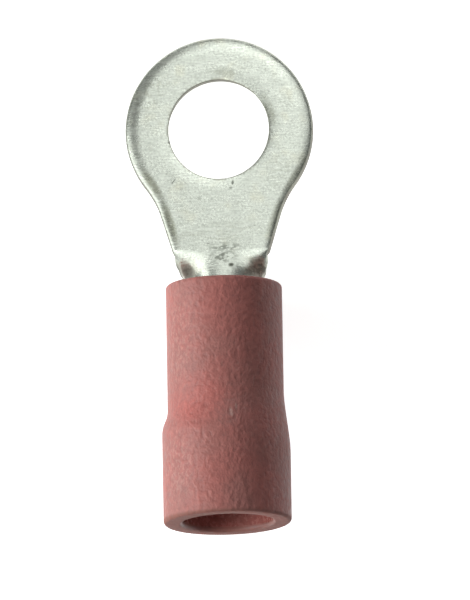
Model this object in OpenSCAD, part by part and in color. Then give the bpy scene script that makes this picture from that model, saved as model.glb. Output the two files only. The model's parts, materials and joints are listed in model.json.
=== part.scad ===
// Insulated ring terminal for a small wire and a 4 mm stud.
// The metal is one piece of tinned copper strip: a stamped ring tongue whose neck curls round into
// a butted crimp barrel. A plastic sleeve is pushed over the barrel and guides the wire into it.
//
// Both pieces are drawn along Y, with the barrel's axis on X = Z = 0, the front of the sleeve at
// Y = 0, the wire entry towards -Y, the ring towards +Y and the barrel's seam at -Z. The last
// module lays them down as the terminal rests on a table, on the ring's tip and the sleeve's
// front edge, with the centre of the stud hole at the origin.

/* [Metal strip] */
// Thickness of the strip
strip_t = 0.75; // [0.6:0.05:0.9]
// Width of the rounded edge that stamping leaves on the upper face
roll_w = 0.36; // [0.1:0.02:0.5]
// Depth of that rounded edge
roll_h = 0.14; // [0.04:0.01:0.3]

/* [Ring tongue] */
// Outside diameter of the ring
ring_d = 8; // [7.4:0.1:9]
// Diameter of the stud hole
stud_hole_d = 4.3; // [3.2:0.1:5.3]
// Width and depth of the chamfer round the upper edge of the stud hole
hole_chamfer = 0.06; // [0.02:0.01:0.15]
// Distance from the front of the sleeve to the centre of the stud hole
stud_reach = 6.5; // [6.2:0.1:7.3]
// Angle that each flank below the ring makes with the length of the tongue
flank_angle = 36.5; // [33:0.5:38]
// Angle that each side of the neck makes with the length of the tongue
neck_angle = 17; // [14:0.5:19]
// Width of the neck where the strip starts to curl
neck_w = 4.06; // [3.7:0.02:4.4]
// Radius of the hollow curve between a flank and the side of the neck
bend_r = 5; // [2:0.5:6]

/* [Crimp barrel] */
// Bore of the barrel
barrel_bore_d = 1.6; // [1.4:0.05:1.9]
// Length of the barrel behind the front of the sleeve
barrel_l = 5; // [4:0.1:6]
// Length of neck over which the flat strip curls round into the barrel
curl_l = 1.3; // [1:0.05:1.6]
// How far in front of the sleeve the strip starts to widen into the barrel's wings
wing_lead = 0.55; // [0.4:0.05:0.7]
// Length over which the wings reach their full width
wing_l = 0.8; // [0.7:0.05:1]
// Gap along the seam where the wings meet
seam_gap = 0.06; // [0.04:0.01:0.1]
// Chamfer inside the barrel's mouth
mouth_chamfer = 0.2; // [0.05:0.05:0.4]

/* [Sleeve] */
// Length of the sleeve
sleeve_l = 10.3; // [9:0.05:12]
// Outside diameter of the sleeve at its front
sleeve_d = 4.96; // [4.6:0.02:5.2]
// Outside diameter of the sleeve at the wire entry
entry_d = 5.46; // [5.3:0.02:6]
// Bore of the sleeve at the wire entry
entry_bore_d = 3.84; // [3.5:0.02:4.2]
// Radial clearance between the sleeve and the barrel
sleeve_clearance = 0.02; // [0.01:0.01:0.04]
// Distance from the front of the sleeve to the start of its flare
flare_from = 4.4; // [3.5:0.1:5]
// Length of the flare
flare_l = 1.8; // [1:0.1:2.5]
// Length of the funnel inside the sleeve, behind the barrel
funnel_l = 1.4; // [1:0.1:2]
// Radius on the rims of the sleeve
rim_r = 0.16; // [0.05:0.01:0.25]

/* [Hidden] */
$fn = 96;

// Overlap that fuses the drawn neck with the ring and the barrel it grows out of
weld = 0.01;
weld_l = 0.12;
cut = 1;

// Steps along the hollow curve, along the curl, across the strip and round an edge
bend_steps = 5;
curl_steps = 18;
strip_steps = 20;
roll_steps = 3;
rim_steps = 5;
flare_steps = 8;

ring_r = ring_d / 2;
hole_r = stud_hole_d / 2;
bore_r = barrel_bore_d / 2;
barrel_r = bore_r + strip_t;
mid_r = bore_r + strip_t / 2;
tongue_top = barrel_r;
tongue_bottom = barrel_r - strip_t;
barrel_front = wing_lead - wing_l - weld_l / 2;
loft_end = barrel_front - weld_l;

// Where each straight flank leaves the ring
flank_top = [ring_r * cos(flank_angle), stud_reach - ring_r * sin(flank_angle)];

// Where the line of the flank meets the line of the neck
bend_y = (flank_top.x - flank_top.y * tan(flank_angle) - neck_w / 2 + curl_l * tan(neck_angle))
    / (tan(neck_angle) - tan(flank_angle));
bend_x = neck_w / 2 + (bend_y - curl_l) * tan(neck_angle);

// The hollow curve that joins them, which leaves a little of both lines straight
flank_l = (flank_top.y - bend_y) / cos(flank_angle);
neck_l = (bend_y - curl_l) / cos(neck_angle);
bend_turn = tan((flank_angle - neck_angle) / 2);
hollow_r = min(bend_r, 0.95 * min(flank_l, neck_l) / bend_turn);
bend_run = hollow_r * bend_turn;
bend_centre = [
    bend_x - bend_run * sin(neck_angle) + hollow_r * cos(neck_angle),
    bend_y - bend_run * cos(neck_angle) - hollow_r * sin(neck_angle)
];

// Half of the strip's width once it is rolled up into the barrel
wing_half = PI * mid_r - seam_gap;

sleeve_r = sleeve_d / 2;
entry_r = entry_d / 2;
entry_bore_r = entry_bore_d / 2;
sleeve_bore_r = barrel_r + sleeve_clearance;

// Pitch at which the terminal lies on the ring's tip and the rounded front rim of the sleeve
tip_run = stud_reach + ring_r + rim_r;
tip_rise = tongue_bottom + sleeve_r - rim_r;
rest_pitch = atan2(tip_rise, tip_run) + asin(rim_r / norm([tip_run, tip_rise]));

// Smooth step from 0 to 1
function ease(u) =
    let (c = min(max(u, 0), 1))
    c * c * (3 - 2 * c);

// Curvature of the strip at a distance in front of the sleeve
function curl(y) = ease((curl_l - y) / curl_l) / mid_r;

// Half of the strip's width, measured along its curl, over the curling length
function strip_half(y) =
    neck_w / 2 + (wing_half - neck_w / 2) * ease((wing_lead - y) / wing_l);

// Distance along the tongue and half-width of each section of the neck, ring end first
bend_sections = [
    for (i = [0:bend_steps])
        let (a = flank_angle + (neck_angle - flank_angle) * i / bend_steps)
        [bend_centre.y + hollow_r * sin(a), bend_centre.x - hollow_r * cos(a)]
];
curl_sections = [
    for (i = [0:curl_steps])
        let (y = curl_l + (loft_end - curl_l) * i / curl_steps)
        [y, strip_half(y)]
];
sections = concat([[flank_top.y, flank_top.x]], bend_sections, curl_sections);

// Rounded edge as steps [in from the edge, down from the upper face], from the face outwards
roll_edge = [
    for (i = [0:roll_steps])
        let (a = 90 * i / roll_steps)
        [roll_w * (1 - sin(a)), roll_h * (1 - cos(a))]
];

// Places across a strip of this half-width, as [distance from its middle, depth of the rounded edge]
function across(half) =
    let (flat = half - roll_w)
    concat(
        [for (i = [roll_steps:-1:1]) [roll_edge[i][0] - half, roll_edge[i][1]]],
        [for (i = [0:strip_steps]) [flat * (2 * i / strip_steps - 1), 0]],
        [for (i = [1:roll_steps]) [half - roll_edge[i][0], roll_edge[i][1]]]
    );

// A point of the strip at y: s across it and n out from the middle of its thickness, once it is curled
function curled(s, n, y) =
    let (
        k = curl(y),
        a = k * s * 180 / PI,
        x = k > 0 ? sin(a) / k : s,
        drop = k > 0 ? (1 - cos(a)) / k : 0
    )
    [x + n * sin(a), y, mid_r - drop + n * cos(a)];

// Neck of the tongue: lofted from the ring, past the hollow curves, and curled into the barrel.
// Each section has its upper points first, then the lower ones opposite them.
module neck() {
    skin = strip_t / 2 - weld;
    m = len(across(1));
    points = [
        for (s = sections, side = [1, -1], p = across(s[1] - weld))
            curled(p[0], side > 0 ? skin - p[1] : -skin, s[0])
    ];
    last = 2 * m * (len(sections) - 1);
    along = [
        for (i = [0:2 * m:last - 1], j = [0:m - 2])
            let (u = i + j, v = i + m + j, w = 2 * m)
            each [
                [u, u + 1, u + 1 + w], [u, u + 1 + w, u + w],
                [v, v + w, v + 1 + w], [v, v + 1 + w, v + 1]
            ]
    ];
    edges = [
        for (i = [0:2 * m:last - 1])
            let (w = 2 * m)
            each [
                [i, i + w, i + w + m], [i, i + w + m, i + m],
                [i + m - 1, i + w - 1, i + 2 * w - 1], [i + m - 1, i + 2 * w - 1, i + m - 1 + w]
            ]
    ];
    caps = [
        for (j = [0:m - 2])
            each [
                [j, j + m, j + m + 1], [j, j + m + 1, j + 1],
                [last + j, last + j + 1, last + j + m + 1], [last + j, last + j + m + 1, last + j + m]
            ]
    ];
    polyhedron(points = points, faces = concat(along, edges, caps));
}

// Ring of the tongue, with its rounded upper edge
module ring_disc() {
    translate([0, stud_reach, 0])
        rotate_extrude()
            polygon(concat(
                [[0, tongue_bottom], [ring_r, tongue_bottom]],
                [for (i = [roll_steps:-1:0]) [ring_r - roll_edge[i][0], tongue_top - roll_edge[i][1]]],
                [[0, tongue_top]]
            ));
}

// Hole for the stud, with a light chamfer at its upper edge
module stud_hole() {
    translate([0, stud_reach, tongue_bottom - cut])
        cylinder(r = hole_r, h = strip_t + 2 * cut);
    translate([0, stud_reach, tongue_top - hole_chamfer])
        cylinder(r1 = hole_r, r2 = hole_r + hole_chamfer + cut, h = hole_chamfer + cut);
}

// Rolled barrel behind the neck, open along its seam
module barrel() {
    tube_l = barrel_l + barrel_front;
    difference() {
        rotate([90, 0, 0])
            translate([0, 0, -barrel_front])
                cylinder(r = barrel_r, h = tube_l);
        rotate([90, 0, 0])
            translate([0, 0, -barrel_front - cut])
                cylinder(r = bore_r, h = tube_l + 2 * cut);
        rotate([90, 0, 0])
            translate([0, 0, barrel_l - mouth_chamfer])
                cylinder(r1 = bore_r, r2 = bore_r + mouth_chamfer + cut, h = mouth_chamfer + cut);
        translate([-seam_gap / 2, -barrel_l - cut, -barrel_r - cut])
            cube([seam_gap, tube_l + 2 * cut, barrel_r + cut]);
    }
}

// Lays a piece down at rest, with the centre of the stud hole at the origin
module laid_down() {
    rotate([-rest_pitch, 0, 0])
        translate([0, -stud_reach, -mid_r])
            children();
}

module ring_terminal() {
    color("silver")
        laid_down()
            difference() {
                union() {
                    ring_disc();
                    neck();
                    barrel();
                }
                stud_hole();
            }
}

// Quarter round for a rim: centre [r, y] and the angles it runs between
function rim(centre, from, to) = [
    for (i = [0:rim_steps])
        let (a = from + (to - from) * i / rim_steps)
        centre + rim_r * [cos(a), sin(a)]
];

// Outside of the flare, front to back, as [radius, distance along the barrel's axis]
flare = [
    for (i = [0:flare_steps])
        [
            sleeve_r + (entry_r - sleeve_r) * ease(i / flare_steps),
            -flare_from - flare_l * i / flare_steps
        ]
];

module insulating_sleeve() {
    profile = concat(
        rim([sleeve_r - rim_r, -rim_r], 90, 0),
        flare,
        rim([entry_r - rim_r, rim_r - sleeve_l], 0, -90),
        rim([entry_bore_r + rim_r, rim_r - sleeve_l], -90, -180),
        [
            [entry_bore_r, -barrel_l - funnel_l],
            [sleeve_bore_r, -barrel_l],
            [sleeve_bore_r, 0]
        ]
    );
    color("indianred")
        laid_down()
            rotate([-90, 0, 0])
                rotate_extrude()
                    polygon(profile);
}

ring_terminal();
insulating_sleeve();
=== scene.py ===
"""Looks of an insulated ring terminal: a tinned copper strip, and the plastic sleeve on its barrel.

Both pieces are built in the maker's own frame: the barrel's axis runs along Y, the front of the sleeve is
at Y = 0, the ring lies towards +Y and the barrel's seam is at -Z. `Lay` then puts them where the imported
model has them, laid down at rest. Sizes are in millimetres unless they say otherwise.
"""

import json
import logging
import math
from dataclasses import dataclass, field
from enum import Enum

import bmesh
import bpy
import numpy as np
from mathutils import Matrix, Vector
from mathutils.geometry import delaunay_2d_cdt


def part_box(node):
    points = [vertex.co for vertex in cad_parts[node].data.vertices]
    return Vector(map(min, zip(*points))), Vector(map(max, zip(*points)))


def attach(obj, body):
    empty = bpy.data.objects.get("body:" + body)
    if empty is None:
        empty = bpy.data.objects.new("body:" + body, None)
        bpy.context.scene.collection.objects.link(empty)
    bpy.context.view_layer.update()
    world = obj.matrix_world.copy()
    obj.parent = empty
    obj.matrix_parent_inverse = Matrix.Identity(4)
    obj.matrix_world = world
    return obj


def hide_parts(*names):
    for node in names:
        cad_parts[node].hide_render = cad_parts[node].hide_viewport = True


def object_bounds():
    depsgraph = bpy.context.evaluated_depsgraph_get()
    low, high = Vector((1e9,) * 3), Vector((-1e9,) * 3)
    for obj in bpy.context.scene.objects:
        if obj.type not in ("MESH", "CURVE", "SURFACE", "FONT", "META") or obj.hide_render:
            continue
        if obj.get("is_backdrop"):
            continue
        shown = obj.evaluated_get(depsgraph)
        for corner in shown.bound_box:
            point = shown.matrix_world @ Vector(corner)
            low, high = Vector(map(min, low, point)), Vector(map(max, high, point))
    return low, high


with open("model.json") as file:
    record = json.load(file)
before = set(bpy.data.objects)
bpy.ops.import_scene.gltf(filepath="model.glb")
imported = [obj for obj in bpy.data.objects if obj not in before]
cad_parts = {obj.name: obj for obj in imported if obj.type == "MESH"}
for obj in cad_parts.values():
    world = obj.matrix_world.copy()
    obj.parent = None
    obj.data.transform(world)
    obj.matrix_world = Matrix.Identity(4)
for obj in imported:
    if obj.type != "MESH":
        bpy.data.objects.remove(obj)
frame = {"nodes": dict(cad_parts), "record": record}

LOG = logging.getLogger("ring_terminal")
MM = 0.001
SAME_PLACE = 1e-7
BODY = "root"
STRIP_MAP = "strip"
CUT_SIDE = "cut_side"
TENT_TONE = "tone"

Colour = tuple[float, float, float, float]
Pair = tuple[float, float]
Triple = tuple[float, float, float]
Material = bpy.types.Material
Mesh = bpy.types.Mesh
Node = bpy.types.Node
Object = bpy.types.Object
Socket = bpy.types.NodeSocket
Tree = bpy.types.NodeTree


# ---- Where things are ----


def mount(name: str) -> dict:
    """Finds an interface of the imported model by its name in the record."""
    return next(m for m in frame["record"]["mounts"] if m["name"] == name)


def place_of(name: str) -> Vector:
    """Returns where a mount is, in metres."""
    return Vector(mount(name)["pos_m"])


def axis_of(name: str) -> Vector:
    """Returns the direction of a mount's axis."""
    return Vector(mount(name)["axis"])


def farthest(node: str, way: Vector) -> float:
    """Returns how far a CAD node reaches along a direction, in metres."""
    return max(v.co.dot(way) for v in frame["nodes"][node].data.vertices)


@dataclass
class Lay:
    """The rest pose: it turns points of the maker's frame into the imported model's frame.

    Attributes:
        pitch: Angle by which the tongue dips towards the ring's tip, in radians.
        barrel_drop: Metres from the middle of the tongue's thickness down to the barrel's axis.
        reach: Metres from the front of the sleeve to the centre of the stud hole.
    """

    pitch: float = field(init=False)
    barrel_drop: float = field(init=False)
    reach: float = field(init=False)

    def __post_init__(self) -> None:
        """Reads the pose from the stud hole, the barrel and the sleeve."""
        axis = axis_of("stud_hole")
        self.pitch = math.atan2(axis.y, axis.z)
        self.barrel_drop = (place_of("stud_hole") - place_of("wire_barrel")).dot(axis)
        self.reach = -farthest("insulating_sleeve", -axis_of("wire_barrel"))

    def matrix(self) -> Matrix:
        """Returns the matrix from the maker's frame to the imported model's frame."""
        turn = Matrix.Rotation(-self.pitch, 4, "X")
        return turn @ Matrix.Translation((0.0, -self.reach, -self.barrel_drop))

    def direction(self, x: float, y: float, z: float) -> Vector:
        """Returns a direction of the maker's frame, at length one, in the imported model's frame."""
        return (self.matrix().to_3x3() @ Vector((x, y, z))).normalized()


# ---- Small helpers ----


def ease(u: float) -> float:
    """Returns a smooth step from 0 to 1 as u goes from 0 to 1."""
    c = min(max(u, 0.0), 1.0)
    return c * c * (3.0 - 2.0 * c)


def full(numbers: tuple[float, ...], last: float) -> Triple:
    """Returns three numbers: the given two or three, with last added if there are two."""
    return (*numbers, last)[:3]


def grey(level: float) -> Colour:
    """Returns an opaque grey."""
    return (level, level, level, 1.0)


def linked(name: str, data: bpy.types.ID) -> Object:
    """Adds an object to the scene.

    Args:
        name: The object's name.
        data: Its mesh, lamp or camera.

    Returns:
        The object.
    """
    made = bpy.data.objects.new(name, data)
    bpy.context.collection.objects.link(made)
    return made


class Graph:
    """Makes and joins the nodes of one shader or geometry tree."""

    def __init__(self, tree: Tree) -> None:
        """Starts on a tree, which it empties."""
        self.tree = tree
        tree.nodes.clear()

    def node(self, kind: str, links: dict | None = None, **settings: object) -> Node:
        """Adds a node.

        Args:
            kind: The node's bl_idname.
            links: For each input's name or number, a value or an output socket to join to it.
            settings: Properties of the node, such as its operation.

        Returns:
            The new node.
        """
        made = self.tree.nodes.new(kind)
        for key, value in settings.items():
            setattr(made, key, value)
        for key, value in (links or {}).items():
            socket = made.inputs[key]
            if isinstance(value, Socket):
                self.tree.links.new(value, socket)
            else:
                socket.default_value = value
        return made

    def result(self, kind: str, links: dict | None = None, **settings: object) -> Socket:
        """Adds a node as node() does, and returns its first output."""
        return self.node(kind, links, **settings).outputs[0]

    def math(self, operation: str, *values: object) -> Socket:
        """Adds one sum, such as MULTIPLY, of numbers or sockets."""
        return self.result("ShaderNodeMath", dict(enumerate(values)), operation=operation)

    def vector_math(self, operation: str, *values: object) -> Socket:
        """Adds one sum, such as NORMALIZE, whose result is a vector."""
        return self.result("ShaderNodeVectorMath", dict(enumerate(values)), operation=operation)

    def scaled(self, vector: Socket, factor: Socket) -> Socket:
        """Multiplies a vector or a colour by a number."""
        return self.result("ShaderNodeVectorMath", {0: vector, "Scale": factor}, operation="SCALE")

    def length(self, vector: Socket) -> Socket:
        """Measures a vector."""
        return self.node("ShaderNodeVectorMath", {0: vector}, operation="LENGTH").outputs["Value"]

    def layered(self, base: object, *layers: tuple[Socket, object]) -> Socket:
        """Adds layers to a value.

        Args:
            base: A number or a socket.
            layers: Each layer's socket, and the share of it that is added.

        Returns:
            The sum's socket.
        """
        for value, share in layers:
            base = self.math("MULTIPLY_ADD", value, share, base)
        return base

    def ramp(self, value: Socket, low: float, high: float) -> Socket:
        """Returns a smooth mask: 0 where value is low, 1 where it is high."""
        links = {"Value": value, "From Min": low, "From Max": high}
        return self.result("ShaderNodeMapRange", links, interpolation_type="SMOOTHSTEP")

    def noise(self, at: Socket, scale: float, detail: float, rough: float = 0.5) -> Socket:
        """Returns the value of a noise texture."""
        links = {"Vector": at, "Scale": scale, "Detail": detail, "Roughness": rough}
        return self.result("ShaderNodeTexNoise", links)

    def clouds(self, at: Socket, scale: float, low: float, high: float) -> Socket:
        """Returns a mask of soft clouds, with the noise levels where they start and are full."""
        return self.ramp(self.noise(at, scale, 2.0), low, high)

    def blend(self, factor: object, first: object, second: object) -> Socket:
        """Mixes two colours, where factor says how much of the second there is."""
        return self.node("ShaderNodeMix", {0: factor, 6: first, 7: second}, data_type="RGBA").outputs[2]

    def bump(self, height: Socket, strength: float, relief: float) -> Socket:
        """Turns a height into a normal, with relief as the depth of one unit in millimetres."""
        links = {"Height": height, "Strength": strength, "Distance": relief * MM}
        return self.result("ShaderNodeBump", links)

    def surface(self, shader: Node, kind: str = "ShaderNodeOutputMaterial") -> None:
        """Joins a shader to the output of a material or, by its kind, of a world."""
        self.node(kind, {"Surface": shader.outputs[0]})


def new_material(name: str) -> tuple[Material, Graph]:
    """Starts a material.

    Args:
        name: Its name.

    Returns:
        The material, and its empty graph.
    """
    made = bpy.data.materials.new(name)
    made.use_nodes = True
    return made, Graph(made.node_tree)


# ---- Finishes ----


class Slot(Enum):
    """The record's material slots."""

    METAL = "tinned_copper"
    PLASTIC = "sleeve_plastic"


@dataclass(frozen=True)
class Mark:
    """A mark of handling, a stain, a patch of painted shade or a painted highlight, placed in millimetres:
    across, along and, on the sleeve, up.

    Attributes:
        centre: Its middle.
        half: Its half sizes.
        depth: How strongly it shows, from 0 to 1.
        turn: Angle from the direction across the piece, in radians.
        broken: How far it breaks up into spots, from 0 to 1.
        per_mm: Spots to a millimetre each way.
        gap: Share of the patch that the spots leave free.
    """

    centre: tuple[float, ...]
    half: tuple[float, ...]
    depth: float
    turn: float = 0.0
    broken: float = 0.0
    per_mm: tuple[float, ...] = (3.0, 6.0)
    gap: float = 0.5


class Groups:
    """Shader groups that more than one finish uses, each built once."""

    def __init__(self) -> None:
        """Builds the groups."""
        self.grain = self._grain()
        self.patch = self._patch()

    @staticmethod
    def _start(
        name: str, inputs: dict[str, object], outputs: tuple[str, ...]
    ) -> tuple[Graph, dict[str, Socket], Node]:
        """Starts a group.

        Args:
            name: The group's name.
            inputs: Each input's name and default; a tuple makes a vector input.
            outputs: Names of its number outputs.

        Returns:
            The graph, its input sockets by name, and its output node.
        """
        tree = bpy.data.node_groups.new(name, "ShaderNodeTree")
        for key, value in inputs.items():
            kind = "NodeSocketVector" if isinstance(value, tuple) else "NodeSocketFloat"
            made = tree.interface.new_socket(name=key, in_out="INPUT", socket_type=kind)
            made.default_value = value
        for key in outputs:
            tree.interface.new_socket(name=key, in_out="OUTPUT", socket_type="NodeSocketFloat")
        graph = Graph(tree)
        given = graph.node("NodeGroupInput")
        return graph, {s.name: s for s in given.outputs if s.name}, graph.node("NodeGroupOutput")

    def _grain(self) -> Tree:
        """Builds grain drawn out along one direction, as two layers that average nought.

        Returns:
            The group, with the outputs Coarse and Fine.
        """
        inputs = {"Place": (0.0, 0.0, 0.0), "Per mm": (1.0, 1.0, 1.0)}
        graph, given, result = self._start("Drawn grain", inputs, ("Coarse", "Fine"))
        at = graph.vector_math("MULTIPLY", given["Place"], given["Per mm"])
        for name, scale, detail in (("Coarse", 0.22, 3.0), ("Fine", 1.0, 2.0)):
            level = graph.math("SUBTRACT", graph.noise(at, scale, detail, 0.55), 0.5)
            graph.tree.links.new(level, result.inputs[name])
        return graph.tree

    def _patch(self) -> Tree:
        """Builds an oval patch, turned in its plane and broken up by noise, for stains, grime, scratches,
        painted shade and painted highlights.

        Returns:
            The group, with the output Mask.
        """
        inputs = {
            "Place": (0.0, 0.0, 0.0),
            "Centre": (0.0, 0.0, 0.0),
            "Turn": (0.0, 0.0, 0.0),
            "Half size": (1.0, 1.0, 1.0),
            "Per mm": (1.0, 1.0, 1.0),
            "Broken": 0.0,
            "Gap": 0.5,
        }
        graph, given, result = self._start("Broken patch", inputs, ("Mask",))
        links = {"Vector": given["Place"], "Location": given["Centre"], "Rotation": given["Turn"]}
        turned = graph.result("ShaderNodeMapping", links, vector_type="TEXTURE")
        fade, spot_edge = (1.0, 0.25), (-0.03, 0.09)
        far = graph.length(graph.vector_math("DIVIDE", turned, given["Half size"]))
        inside = graph.ramp(far, *fade)
        spots = graph.noise(graph.vector_math("MULTIPLY", given["Place"], given["Per mm"]), 1.0, 3.0, 0.6)
        over = graph.ramp(graph.math("SUBTRACT", spots, given["Gap"]), *spot_edge)
        whole = graph.math("SUBTRACT", 1.0, given["Broken"])
        broken = graph.layered(whole, (over, given["Broken"]))
        graph.tree.links.new(graph.math("MULTIPLY", inside, broken), result.inputs["Mask"])
        return graph.tree

    def grained(self, graph: Graph, place: Socket, per_mm: Triple) -> bpy.types.bpy_prop_collection:
        """Puts the grain in a material, and returns its outputs."""
        return graph.node("ShaderNodeGroup", {"Place": place, "Per mm": per_mm}, node_tree=self.grain).outputs

    def marked(self, graph: Graph, place: Socket, marks: tuple[Mark, ...]) -> Socket:
        """Joins marks into one mask.

        Args:
            graph: The material's graph.
            place: Places in millimetres, on the flat map or in the piece's own frame.
            marks: The marks.

        Returns:
            The mask's socket.
        """
        total = 0.0
        for mark in marks:
            links = {
                "Place": place,
                "Centre": full(mark.centre, 0.0),
                "Turn": (0.0, 0.0, mark.turn),
                "Half size": full(mark.half, 1.0),
                "Per mm": full(mark.per_mm, 1.0),
                "Broken": mark.broken,
                "Gap": mark.gap,
            }
            mask = graph.result("ShaderNodeGroup", links, node_tree=self.patch)
            total = graph.math("MAXIMUM", graph.math("MULTIPLY", mask, mark.depth), total)
        return total


@dataclass(frozen=True)
class TinnedCopper:
    """Tin on rolled strip: fine grain across the tongue, handling marks, a little grime, and painted shade
    and reflection round the stud hole, along the flanks and in the neck's curled corners.
    """

    colour: Colour = (0.745, 0.80, 0.705, 1.0)
    warm: Colour = (0.79, 0.77, 0.55, 1.0)
    # Near black of the dark marks: grime, and painted shade and reflection in the neck's curled corners.
    dirt_and_shade: Colour = (0.13, 0.15, 0.11, 1.0)
    # Olive grey of the olive marks below: dull tin, and painted shade and reflection round the stud hole and
    # along the flank edges.
    dull: Colour = (0.38, 0.40, 0.31, 1.0)
    # Dark colour of the sheared sides and the stud hole's wall: partly bare sheared copper, partly painted
    # shade that keeps these faces dark where they mirror the white floor.
    cut: Colour = (0.16, 0.15, 0.11, 1.0)
    roughness: float = 0.27
    tooth: Triple = (10.0, 10.5, 1.0)  # grains to a millimetre
    streak: Triple = (2.2, 15.0, 1.0)
    relief: float = 0.012
    bump_strength: float = 0.6
    cloud: Triple = (0.9, 0.52, 0.78)  # to a millimetre, and the noise levels from clear to full
    cloud_share: float = 0.35
    tone_shares: Triple = (0.72, 0.50, 0.24)  # of the fine teeth, the fine streaks and the coarse teeth
    rough_shares: Triple = (0.25, 0.3, 0.15)  # of the coarse streaks, the grime and painted shade marks, and the sheared sides
    height_shares: Pair = (0.6, -0.8)  # of the fine streaks and the grime and painted shade marks, on top of the fine teeth
    # Metallic taken off under the dark marks of grime and painted shade.
    dirt_and_shade_metal: float = -0.6
    # Dark marks: grime and scratches, and painted shade in the neck's curled corners.
    dirt_and_shade_marks: tuple[Mark, ...] = (
        # Grime in the middle of the neck.
        Mark((0.22, 1.36), (0.95, 0.26), 0.50, broken=1.0, per_mm=(3.6, 10.0), gap=0.46),
        Mark((0.10, 0.98), (0.80, 0.36), 0.60, broken=1.0, per_mm=(4.0, 7.5), gap=0.48),
        Mark((0.38, 0.60), (0.14, 0.11), 0.85, turn=0.3),
        # Painted shade and reflection: the four dark patches low in the neck's curled corners.
        Mark((1.10, 0.36), (0.38, 0.32), 0.65, broken=0.4, per_mm=(4.0, 5.0), gap=0.42),
        Mark((1.60, 0.52), (0.75, 0.50), 0.75, turn=-0.3, broken=0.6, per_mm=(4.0, 5.0), gap=0.45),
        Mark((-2.05, 0.58), (0.50, 0.45), 0.85, turn=0.4, broken=0.4, per_mm=(3.5, 4.0), gap=0.40),
        Mark((-1.38, 0.38), (0.50, 0.42), 0.75, turn=-0.4, broken=0.25),
        # Grime, two scratches, and a nick with a dark spot at the stud hole's lower rim.
        Mark((-0.70, 1.55), (0.90, 0.20), 0.35, broken=1.0, per_mm=(3.0, 9.0), gap=0.55),
        Mark((-1.96, 4.28), (0.19, 0.028), 0.65, turn=0.95),
        Mark((-2.25, 4.62), (0.12, 0.025), 0.35, turn=1.0),
        Mark((0.56, 4.16), (0.07, 0.15), 0.60, turn=-0.1),
        Mark((0.48, 3.93), (0.12, 0.08), 0.40),
        Mark((-0.90, 3.20), (0.80, 0.70), 0.25, broken=1.0, per_mm=(2.6, 7.0), gap=0.60),
    )
    # Olive marks: painted shade and reflection, and dull patches.
    dulled_and_shaded: tuple[Mark, ...] = (
        # Painted shade: the crescent above the stud hole and the band right of it, where the dished face
        # tilts towards the hole.
        Mark((0.25, 9.00), (0.85, 0.26), 0.40, turn=-0.08, broken=0.7, per_mm=(3.0, 5.0), gap=0.42),
        Mark((2.15, 7.30), (0.30, 0.95), 0.60, turn=0.38, broken=0.5, per_mm=(3.0, 4.0), gap=0.42),
        # Broken olive patches on the neck, the right flank and the ring's upper left.
        Mark((-1.35, 1.9), (0.9, 0.25), 0.30, broken=0.9, per_mm=(2.0, 8.0), gap=0.47),
        Mark((0.40, 2.0), (1.9, 0.75), 0.30, broken=1.0, per_mm=(1.3, 9.0), gap=0.50),
        Mark((2.60, 4.6), (0.9, 1.1), 0.25, broken=1.0, per_mm=(1.5, 9.0), gap=0.50),
        Mark((-2.90, 8.1), (0.7, 1.5), 0.35, turn=-0.7, broken=1.0, per_mm=(5.0, 5.0), gap=0.50),
        # Painted reflection: dark bands along the rounded edges of both flanks.
        Mark((-2.14, 2.50), (0.26, 1.45), 0.85, turn=0.30, broken=0.35, per_mm=(4.0, 5.0), gap=0.35),
        Mark((-2.88, 4.20), (0.26, 1.10), 0.85, turn=0.56, broken=0.35, per_mm=(4.0, 5.0), gap=0.35),
        Mark((2.36, 2.60), (0.28, 1.40), 0.60, turn=-0.38, broken=0.35, per_mm=(4.0, 5.0), gap=0.35),
        Mark((3.14, 4.25), (0.24, 1.10), 0.60, turn=-0.55, broken=0.35, per_mm=(4.0, 5.0), gap=0.35),
    )

    def material(self, groups: Groups) -> Material:
        """Builds the material.

        Args:
            groups: The shared shader groups.

        Returns:
            The finished material, which reads the strip's own flat map.
        """
        made, graph = new_material("tinned copper")
        flat = graph.result("ShaderNodeUVMap", uv_map=STRIP_MAP)
        tooth, streak = (groups.grained(graph, flat, per_mm) for per_mm in (self.tooth, self.streak))
        grains = (tooth["Fine"], streak["Fine"], tooth["Coarse"])
        tone = graph.layered(1.0, *zip(grains, self.tone_shares))
        clouds = graph.math("MULTIPLY", graph.clouds(flat, *self.cloud), self.cloud_share)
        clean = graph.scaled(graph.blend(clouds, self.colour, self.warm), tone)
        # Sheared sides: rougher, and darkened by the cut colour, which is partly painted shade.
        side = graph.node("ShaderNodeAttribute", attribute_name=CUT_SIDE).outputs["Fac"]
        toned = graph.blend(side, clean, self.cut)
        # Olive marks: painted shade round the hole and along the flanks, and dull patches.
        dulled_and_shaded = graph.blend(groups.marked(graph, flat, self.dulled_and_shaded), toned, self.dull)
        # Mask of the dark marks: grime, and painted shade in the neck's curled corners.
        dirt_and_shade = groups.marked(graph, flat, self.dirt_and_shade_marks)
        height = graph.layered(tooth["Fine"], *zip((streak["Fine"], dirt_and_shade), self.height_shares))
        duller = zip((streak["Coarse"], dirt_and_shade, side), self.rough_shares)
        links = {
            "Base Color": graph.blend(dirt_and_shade, dulled_and_shaded, self.dirt_and_shade),
            "Roughness": graph.layered(self.roughness, *duller),
            "Metallic": graph.layered(1.0, (dirt_and_shade, self.dirt_and_shade_metal)),
            "Normal": graph.bump(height, self.bump_strength, self.relief),
        }
        graph.surface(graph.node("ShaderNodeBsdfPrincipled", links))
        return made


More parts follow.
